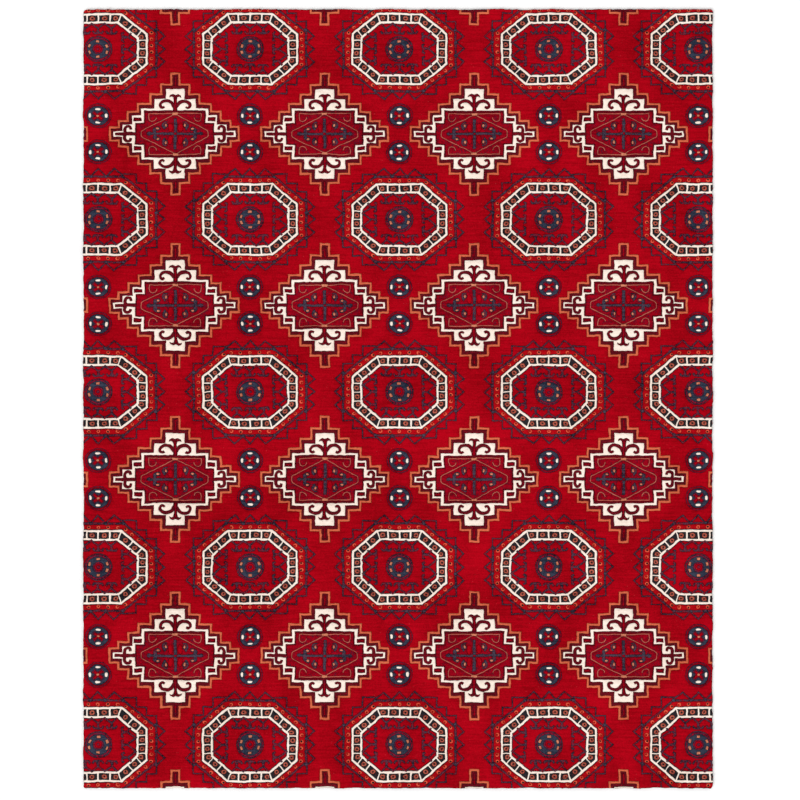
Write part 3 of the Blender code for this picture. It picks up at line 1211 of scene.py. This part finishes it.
@dataclass
class Pile:
    """The wool pile, all areas of it.

    Attributes:
        low: the lowest corner of the pile's box.
        high: the highest corner of the pile's box.
        corner_radius: the radius of the rug's corners.
        corner_cuts: how many straight cuts make each corner.
        roll: how far the pile drops at the rug's edge.
        roll_reach: how far inside the edge the drop starts.
        profile: how each area ends at its neighbours.
    """

    low: Vector
    high: Vector
    corner_radius: float = 12 * MM
    corner_cuts: int = 4
    roll: float = 2.4 * MM
    roll_reach: float = 10 * MM
    profile: PileProfile = field(default_factory=PileProfile)

    def planes(self) -> list[tuple[Vector, Vector]]:
        """The planes that cut the sheet to the rug's outline, as points and outward normals."""
        middle, half = (self.low + self.high) / 2, (self.high - self.low) / 2
        found = []
        turns = 4 * self.corner_cuts
        for turn in range(turns):
            angle = math.tau * turn / turns
            outward = Vector((math.cos(angle), math.sin(angle), 0))
            x = middle.x + math.copysign(half.x - self.corner_radius, outward.x)
            y = middle.y + math.copysign(half.y - self.corner_radius, outward.y)
            found.append((Vector((x, y, 0)) + outward * self.corner_radius, outward))
        return found

    def trimmed(self, points: np.ndarray, faces: np.ndarray, owner: np.ndarray) -> tuple:
        """Cuts the flat sheet to the rug's outline.

        Args:
            points: the sheet's points.
            faces: its triangles.
            owner: each triangle's area.
        Returns:
            The points, triangles and areas inside the outline.
        """
        mesh = bpy.data.meshes.new("sheet")
        mesh.vertices.add(len(points))
        places = np.column_stack([points, np.zeros(len(points))])
        mesh.vertices.foreach_set("co", places.astype(np.float32).ravel())
        mesh.loops.add(faces.size)
        mesh.loops.foreach_set("vertex_index", faces.ravel().astype(np.int32))
        mesh.polygons.add(len(faces))
        mesh.polygons.foreach_set("loop_start", (np.arange(len(faces)) * 3).astype(np.int32))
        mesh.polygons.foreach_set("material_index", owner.astype(np.int32))
        mesh.update(calc_edges=True)
        sheet = bmesh.new()
        sheet.from_mesh(mesh)
        for place, outward in self.planes():
            parts = [*sheet.verts, *sheet.edges, *sheet.faces]
            cut = {"plane_co": place, "plane_no": outward, "clear_outer": True}
            bmesh.ops.bisect_plane(sheet, geom=parts, dist=0.05 * MM, **cut)
        bmesh.ops.triangulate(sheet, faces=sheet.faces)
        sheet.to_mesh(mesh)
        sheet.free()
        flat = np.zeros(len(mesh.vertices) * 3, np.float32)
        mesh.vertices.foreach_get("co", flat)
        corners = np.zeros(len(mesh.loops), np.int32)
        mesh.loops.foreach_get("vertex_index", corners)
        areas = np.zeros(len(mesh.polygons), np.int32)
        mesh.polygons.foreach_get("material_index", areas)
        bpy.data.meshes.remove(mesh)
        return flat.reshape(-1, 3)[:, :2].astype(float), corners.reshape(-1, 3).astype(int), areas

    def rolled(self, points: np.ndarray) -> np.ndarray:
        """How far the cut pile splays and drops at each point near the rug's edges."""
        middle, half = (self.low + self.high) / 2, (self.high - self.low) / 2
        away = np.min((half.x, half.y) - np.abs(points - (middle.x, middle.y)), axis=1)
        return self.roll * np.clip(1 - away / self.roll_reach, 0, 1) ** 2

    def make(self) -> dict[Area, bpy.types.Object]:
        """Makes every area of the pile."""
        lattice = Lattice.from_frame()
        low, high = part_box("octagon_medallion_r3c3")
        size = (high - low) / 2
        width = float(lattice.columns[4] - lattice.columns[3])
        height = float(abs(lattice.rows[6] - lattice.rows[4]) / 2)
        design = Design(width, height)
        OctagonMedallion(size.x / MM, size.y / MM).draw(design.brush((0.0, 0.0)))
        DiamondMedallion().draw(design.brush((width, height), -1.0))
        rosette = SmallRosette()
        rosette.draw(design.brush((0.0, height - rosette.away * MM)))
        quarter = design.triangles()
        log.info("quarter of the repeat: %d points, %d triangles", len(quarter[0]), len(quarter[1]))
        points, faces, owner = self.trimmed(*lattice.repeat(design, *quarter))
        log.info("whole sheet: %d points, %d triangles", len(points), len(faces))
        moved = points + np.column_stack([total(HAND_X, points), total(HAND_Y, points)])
        top = self.high.z + total(NAP, points) - self.rolled(points)
        pieces = {}
        for number, area in enumerate(Area):
            mine = faces[owner == number]
            if not len(mine):
                continue
            solid = raised(moved, mine, top, self.low.z, self.profile)
            piece = make_object(area.title, *solid, area.yarn.finish.material(), 70)
            nodes = [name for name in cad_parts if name.startswith(area.motif)]
            pieces[area] = seat(piece, nodes)
        return pieces


# --------------------------------------------------------------------------- cloths and tapes


@dataclass
class Perimeter:
    """The rug's outline as a loop of stations that can be drawn at any distance inside it.

    Attributes:
        low: the lowest corner.
        high: the highest corner.
        radius: the radius of its corners.
        arc: the pieces of each corner's arc.
        pitch: the distance between stations on the straight sides.
    """

    low: Vector
    high: Vector
    radius: float
    arc: int = 5
    pitch: float = 30 * MM

    def loop(self, inset: float) -> np.ndarray:
        """The loop, counter-clockwise.

        Args:
            inset: how far inside the outline it lies.
        Returns:
            The stations.
        """
        radius = max(self.radius - inset, 0.5 * MM)
        middle = np.array((self.low + self.high) / 2)[:2]
        half = np.array((self.high - self.low) / 2)[:2]
        core = half - inset - radius
        arcs = []
        for number, (sx, sy) in enumerate(((1, 1), (-1, 1), (-1, -1), (1, -1))):
            turn = (number + np.arange(self.arc + 1) / self.arc) * math.pi / 2
            arcs.append(middle + core * (sx, sy) + radius * np.column_stack([np.cos(turn), np.sin(turn)]))
        parts = []
        for number, arc in enumerate(arcs):
            after = arcs[(number + 1) % 4][0]
            count = round(2 * half[number % 2] / self.pitch)
            share = (np.arange(1, count) / count)[:, None]
            parts += [arc, arc[-1] + (after - arc[-1]) * share]
        return np.vstack(parts)

    def sweep(self, levels: Sequence[tuple[float, float]]) -> tuple[np.ndarray, np.ndarray]:
        """Sweeps a closed profile round the loop.

        Args:
            levels: (inset, height) of the profile's points.
        Returns:
            The points, and the quads between each level and the next, the last and the first included.
        """
        rows = [np.column_stack([loop, np.full(len(loop), height)])
                for loop, height in ((self.loop(inset), height) for inset, height in levels)]
        count = len(rows[0])
        a = np.arange(count)
        b = np.roll(a, -1)
        quads = [np.stack([a + i * count, b + i * count, b + j * count, a + j * count], 1)
                 for i, j in zip(range(len(rows)), [*range(1, len(rows)), 0])]
        return np.vstack(rows), np.stack(quads)


def tubes(points: np.ndarray, turned: bool) -> tuple[np.ndarray, np.ndarray, np.ndarray]:
    """Closed tubes round rings of points.

    Args:
        points: (tubes, rings, points of a ring, 3) the points.
        turned: whether the rings run the other way round.
    Returns:
        The points, the walls' quads and the end faces.
    """
    number = np.arange(points[..., 0].size).reshape(points.shape[:3])
    after = np.roll(number, -1, 2)
    walls = np.stack([number[:, :-1], after[:, :-1], after[:, 1:], number[:, 1:]], 3).reshape(-1, 4)
    ends = np.vstack([number[:, 0, ::-1], number[:, -1]])
    if turned:
        walls, ends = walls[:, [0, 3, 2, 1]], ends[:, ::-1]
    return points.reshape(-1, 3), walls, ends


def thick_sheet(grid: np.ndarray, thickness: np.ndarray) -> tuple[np.ndarray, list[np.ndarray]]:
    """A closed sheet below a grid of points.

    Args:
        grid: (rows, columns, 3) points of its upper face, rows towards +y and columns towards +x.
        thickness: its thickness at each point.
    Returns:
        The points and faces.
    """
    rows, columns = grid.shape[:2]
    lower = grid - np.stack([np.zeros_like(thickness), np.zeros_like(thickness), thickness], 2)
    number = np.arange(rows * columns).reshape(rows, columns)
    a, b, c, d = number[:-1, :-1], number[:-1, 1:], number[1:, 1:], number[1:, :-1]
    upper = np.stack([a, b, c, d], 2).reshape(-1, 4)
    rim = np.concatenate([number[0, :-1], number[:-1, -1], number[-1, :0:-1], number[:0:-1, 0]])
    after = np.roll(rim, -1)
    count = rows * columns
    walls = np.stack([after, rim, rim + count, after + count], 1)
    points = np.vstack([grid.reshape(-1, 3), lower.reshape(-1, 3)])
    return points, [np.vstack([upper, upper[:, ::-1] + count, walls])]


@dataclass
class PrimaryCloth:
    """The cloth that holds the tufts, its margin folded under as a hem.

    Attributes:
        thickness: the cloth's thickness.
        hem: how far the margin reaches in, below.
        past_hem: how far past the hem the upper layer's rings of points reach.
        turns: the pieces of the fold's half circle.
        radius: the radius of the rug's corners.
    """

    thickness: float = 0.9 * MM
    hem: float = 45 * MM
    past_hem: float = 20 * MM
    turns: int = 6
    radius: float = 10 * MM

    def make(self) -> bpy.types.Object:
        """Makes the folded cloth in the place of its CAD node."""
        low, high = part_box("primary_cloth")
        outer = (high.z - low.z) / 2
        bend = [math.pi * (step / self.turns - 0.5) for step in range(self.turns + 1)]
        middle = (low.z + high.z) / 2
        outside = [(outer - outer * math.cos(a), middle + outer * math.sin(a)) for a in bend]
        inner = outer - self.thickness
        within = [(outer - inner * math.cos(a), middle + inner * math.sin(a)) for a in reversed(bend)]
        flat = self.hem + self.past_hem
        levels = [(self.hem, low.z), *outside, (flat, high.z), (flat, high.z - self.thickness), *within]
        levels.append((self.hem, low.z + self.thickness))
        points, quads = Perimeter(low, high, self.radius).sweep(levels)
        centre = len(outside) + 1
        count = quads.shape[1]
        caps = [np.arange(count) + centre * count, (np.arange(count) + (centre + 1) * count)[::-1]]
        keep = [row for row in range(len(quads)) if row != centre]
        points[:, 2] += 0.05 * MM * (1 + np.sin(points[:, 0] * 90) * np.sin(points[:, 1] * 70))
        finish = ClothFinish("primary_cotton", 2.2 * MM, (0.78, 0.73, 0.62), (0.42, 0.37, 0.28))
        faces = [np.vstack([quads[row] for row in keep]), np.stack(caps)]
        piece = make_object("primary_cloth_folded", points, faces, finish.material(), 50)
        seat(piece, ["primary_cloth"])
        return piece


@dataclass
class ScrimNet:
    """The open gauze bedded in the adhesive: warp strands below, weft strands above.

    Attributes:
        pitch: the distance from strand to strand.
        strand: a strand's width.
        bends: the pieces of a strand.
        sway: how far a strand strays sideways.
        least_cover: the least share of the net's outline for its flat area; not
            used. least_cover: the least share of the net's outline that its flat area is
            given as.
    """

    pitch: float = 6 * MM
    strand: float = 0.42 * MM
    bends: int = 24
    sway: float = 0.5 * MM
    least_cover: float = 0.31

    def strands(self, low: Vector, high: Vector, axis: int, height: float) -> tuple[np.ndarray, np.ndarray]:
        """Makes the strands that run along one axis.

        Args:
            low: the net's lowest corner.
            high: its highest corner.
            axis: 0 for strands along x, 1 for strands along y.
            height: the height of their middle.
        Returns:
            The points and quads.
        """
        side = 1 - axis
        room = high[side] - low[side] - 4 * self.strand
        count = int(room / self.pitch)
        at = low[side] + 2 * self.strand + room * (np.arange(count) + 0.5) / count
        run = np.linspace(low[axis], high[axis], self.bends + 1)
        x, y = np.meshgrid(run, at)
        sway = Drift(23 + axis, 60 * MM, self.sway)(np.stack([x.ravel(), y.ravel()], 1)).reshape(x.shape)
        half = self.strand / 2
        points = np.zeros((count, self.bends + 1, 4, 3))
        for corner, (across, up) in enumerate(((-1, -0.8), (1, -0.8), (1, 0.8), (-1, 0.8))):
            points[:, :, corner, axis] = x
            points[:, :, corner, side] = y + sway + across * half
            points[:, :, corner, 2] = height + up * half
        points, walls, ends = tubes(points, turned=bool(axis))
        return points, np.vstack([walls, ends])

    def make(self) -> bpy.types.Object:
        """Makes the net in the place of its CAD node."""
        low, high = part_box("scrim_net")
        middle = (low.z + high.z) / 2
        warp, warp_faces = self.strands(low, high, 1, middle - self.strand * 0.45)
        weft, weft_faces = self.strands(low, high, 0, middle + self.strand * 0.45)
        finish = ClothFinish("scrim_cotton", 0.5 * MM, (0.80, 0.76, 0.66), (0.50, 0.45, 0.36), 0.1 * MM)
        points, faces = np.vstack([warp, weft]), np.vstack([warp_faces, weft_faces + len(warp)])
        piece = make_object("scrim_net_strands", points, [faces], finish.material())
        seat(piece, ["scrim_net"])
        return piece


@dataclass
class BackingCloth:
    """The canvas that covers the underside, very slightly slack.

    Attributes:
        cells: how many faces it has across and along the rug.
        slack: how far it sags.
    """

    cells: tuple[int, int] = (60, 74)
    slack: float = 0.16 * MM

    def make(self) -> bpy.types.Object:
        """Makes the canvas in the place of its CAD node."""
        low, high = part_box("backing_cloth")
        across, along = self.cells
        x, y = np.meshgrid(np.linspace(low.x, high.x, across + 1), np.linspace(low.y, high.y, along + 1))
        flat = np.stack([x.ravel(), y.ravel()], 1)
        slack = (Drift(31, 170 * MM, self.slack)(flat) + self.slack).reshape(x.shape)
        thickness = np.full(x.shape, high.z - low.z - 2 * self.slack)
        grid = np.stack([x, y, high.z - 2 * self.slack + slack], 2)
        finish = ClothFinish("cotton_canvas", 1.8 * MM, (0.74, 0.69, 0.57), (0.40, 0.35, 0.26))
        piece = make_object("backing_canvas", *thick_sheet(grid, thickness), finish.material(), 50)
        seat(piece, ["backing_cloth"])
        return piece


class Side(Enum):
    """The four sides of the rug: the tape's name, its run and the way outward."""

    HEAD = ("head", (-1.0, 0.0), (0.0, 1.0))
    LEFT = ("left", (0.0, -1.0), (-1.0, 0.0))
    FOOT = ("foot", (1.0, 0.0), (0.0, -1.0))
    RIGHT = ("right", (0.0, 1.0), (1.0, 0.0))


@dataclass
class HemTape:
    """One mitred hem tape with raised selvedges, and the two rows of stitches that hold it.

    Attributes:
        side: the side of the rug that it lies on.
        columns: how many faces lie across it.
        pitch: the length of a face along it.
        lift: the room below it for the stitches.
        selvedge: how far its selvedges stand out.
        stitch: a stitch's length.
        stitch_pitch: the distance from stitch to stitch.
        stitch_inset: how far inside the selvedge the stitches lie.
        thread: the radius of the thread.
    """

    side: Side
    columns: int = 8
    pitch: float = 20 * MM
    lift: float = 0.25 * MM
    selvedge: float = 0.12 * MM
    stitch: float = 7.0 * MM
    stitch_pitch: float = 11.0 * MM
    stitch_inset: float = 3.0 * MM
    thread: float = 0.28 * MM

    def frame_of(self) -> tuple[np.ndarray, np.ndarray, np.ndarray, float, float, float, float]:
        """The tape's own axes.

        Returns:
            The middle of its outer edge, its run, the way outward, its length and width, and its
            bottom and top.
        """
        name, run, out = self.side.value
        low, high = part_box(f"hem_tape_{name}")
        run, out = np.array(run), np.array(out)
        size = np.array((high.x - low.x, high.y - low.y))
        middle = np.array(((low.x + high.x) / 2, (low.y + high.y) / 2))
        length, width = float(abs(size @ run)), float(abs(size @ out))
        return middle + out * width / 2, run, out, length, width, low.z, high.z

    def make(self) -> bpy.types.Object:
        """Makes the tape in the place of its CAD node."""
        edge, run, out, length, width, low, high = self.frame_of()
        rows = round(length / self.pitch)
        stations, inset = np.linspace(-0.5, 0.5, rows + 1), np.linspace(width, 0, self.columns + 1)
        share, inward = np.meshgrid(stations, inset)
        along = share * (length - 2 * inward)
        flat = edge + along[..., None] * -run - inward[..., None] * out
        across = np.abs(inward / width * 2 - 1)
        thick = high - low - self.lift - self.selvedge + self.selvedge * across**4
        grid = np.concatenate([flat, np.full((*flat.shape[:2], 1), high)], 2)
        pale, dark = (0.80, 0.76, 0.66), (0.52, 0.47, 0.38)
        finish = ClothFinish("twill_tape", 1.2 * MM, pale, dark, turn=math.pi / 4)
        title = f"hem_tape_{self.side.value[0]}_twill"
        piece = make_object(title, *thick_sheet(grid, thick), finish.material(), 50)
        seat(piece, [f"hem_tape_{self.side.value[0]}"])
        return piece

    def stitches(self) -> np.ndarray:
        """The rings of points of the stitches, short arched threads along both selvedges."""
        edge, run, out, length, width, low, _ = self.frame_of()
        stations = np.linspace(-0.5, 0.5, 5)
        arch = np.array((0.9, 0.2, 0.0, 0.2, 0.9)) * self.lift
        turn = np.arange(5) / 5 * math.tau
        rings = []
        for inward in (self.stitch_inset, width - self.stitch_inset):
            reach = length - 2 * inward - 2 * self.stitch_pitch
            for middle in np.linspace(-reach / 2, reach / 2, int(reach / self.stitch_pitch)):
                along = middle + stations * self.stitch
                ring = np.zeros((len(stations), len(turn), 3))
                line = edge - inward * out + along[:, None] * run
                ring[:, :, :2] = line[:, None] + (self.thread * np.cos(turn))[None, :, None] * out
                ring[:, :, 2] = low + self.thread + arch[:, None] + self.thread * np.sin(turn)[None]
                rings.append(ring)
        return np.array(rings)


@dataclass
class Underside:
    """Everything below the pile."""

    latex: LatexFinish = field(default_factory=LatexFinish)

    def make(self) -> list[bpy.types.Object]:
        """Makes the cloths, the net, the tapes and their stitches."""
        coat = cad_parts["latex_coat"]
        coat.data.materials.clear()
        coat.data.materials.append(self.latex.material())
        pieces = [PrimaryCloth().make(), BackingCloth().make(), ScrimNet().make()]
        tapes = [HemTape(side) for side in Side]
        pieces += [tape.make() for tape in tapes]
        points, walls, ends = tubes(np.vstack([tape.stitches() for tape in tapes]), turned=True)
        finish = ClothFinish("hem_thread", 0.4 * MM, (0.86, 0.82, 0.72), (0.60, 0.55, 0.45), 0.05 * MM)
        thread = make_object("hem_stitching", points, [walls, ends], finish.material(), 180)
        pieces.append(seat(thread, []))
        return pieces


# --------------------------------------------------------------------------- the studio


@dataclass
class Studio:
    """The floor, the light and the camera."""

    view_width: float = 3.10
    lens: float = 100.0
    sensor: float = 36.0
    centre: tuple[float, float] = (8.0 * MM, -4.8 * MM)
    floor_size: float = 30.0
    sky: float = 0.90
    sun: float = 1.1

    def build(self, pile_top: float) -> None:
        """Builds the studio round the rug.

        Args:
            pile_top: the height of the pile, which the camera looks down on.
        """
        half = self.floor_size / 2
        corners = np.array([(-half, -half, 0), (half, -half, 0), (half, half, 0), (-half, half, 0)], float)
        corners[:, 2] = -0.5 * MM
        floor = make_object("studio_floor", corners, [np.array([[0, 1, 2, 3]])], StudioFinish().material())
        scene = bpy.context.scene
        scene.view_settings.view_transform = "Standard"
        world = bpy.data.worlds.new("studio_sky")
        world.use_nodes = True
        world.node_tree.nodes["Background"].inputs["Color"].default_value = (1.0, 1.0, 1.0, 1.0)
        world.node_tree.nodes["Background"].inputs["Strength"].default_value = self.sky
        scene.world = world
        light = bpy.data.lights.new("soft_sun", "SUN")
        light.energy = self.sun
        light.angle = math.radians(25)
        lamp = bpy.data.objects.new("soft_sun", light)
        lamp.rotation_euler = (math.radians(38), 0.0, math.radians(-35))
        scene.collection.objects.link(lamp)
        data = bpy.data.cameras.new("camera")
        data.lens, data.sensor_width = self.lens, self.sensor
        camera = bpy.data.objects.new("camera", data)
        away = self.view_width / 2 / (self.sensor / 2 / self.lens)
        camera.location = (*self.centre, pile_top + away)
        scene.collection.objects.link(camera)
        scene.camera = camera


# --------------------------------------------------------------------------- main


def main() -> None:
    """Builds the rug and its studio."""
    low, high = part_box("ground_pile")
    pile = Pile(low, high).make()
    Underside().make()
    ground = pile[Area.GROUND]
    size = (high.x - low.x, high.y - low.y)
    plan = sum(face.area for face in ground.data.polygons if face.normal.z < -0.9)
    plan = max(plan, LEAST_SHARE * size[0] * size[1])
    Studio().build(high.z)


if __name__ == "__main__":
    main()
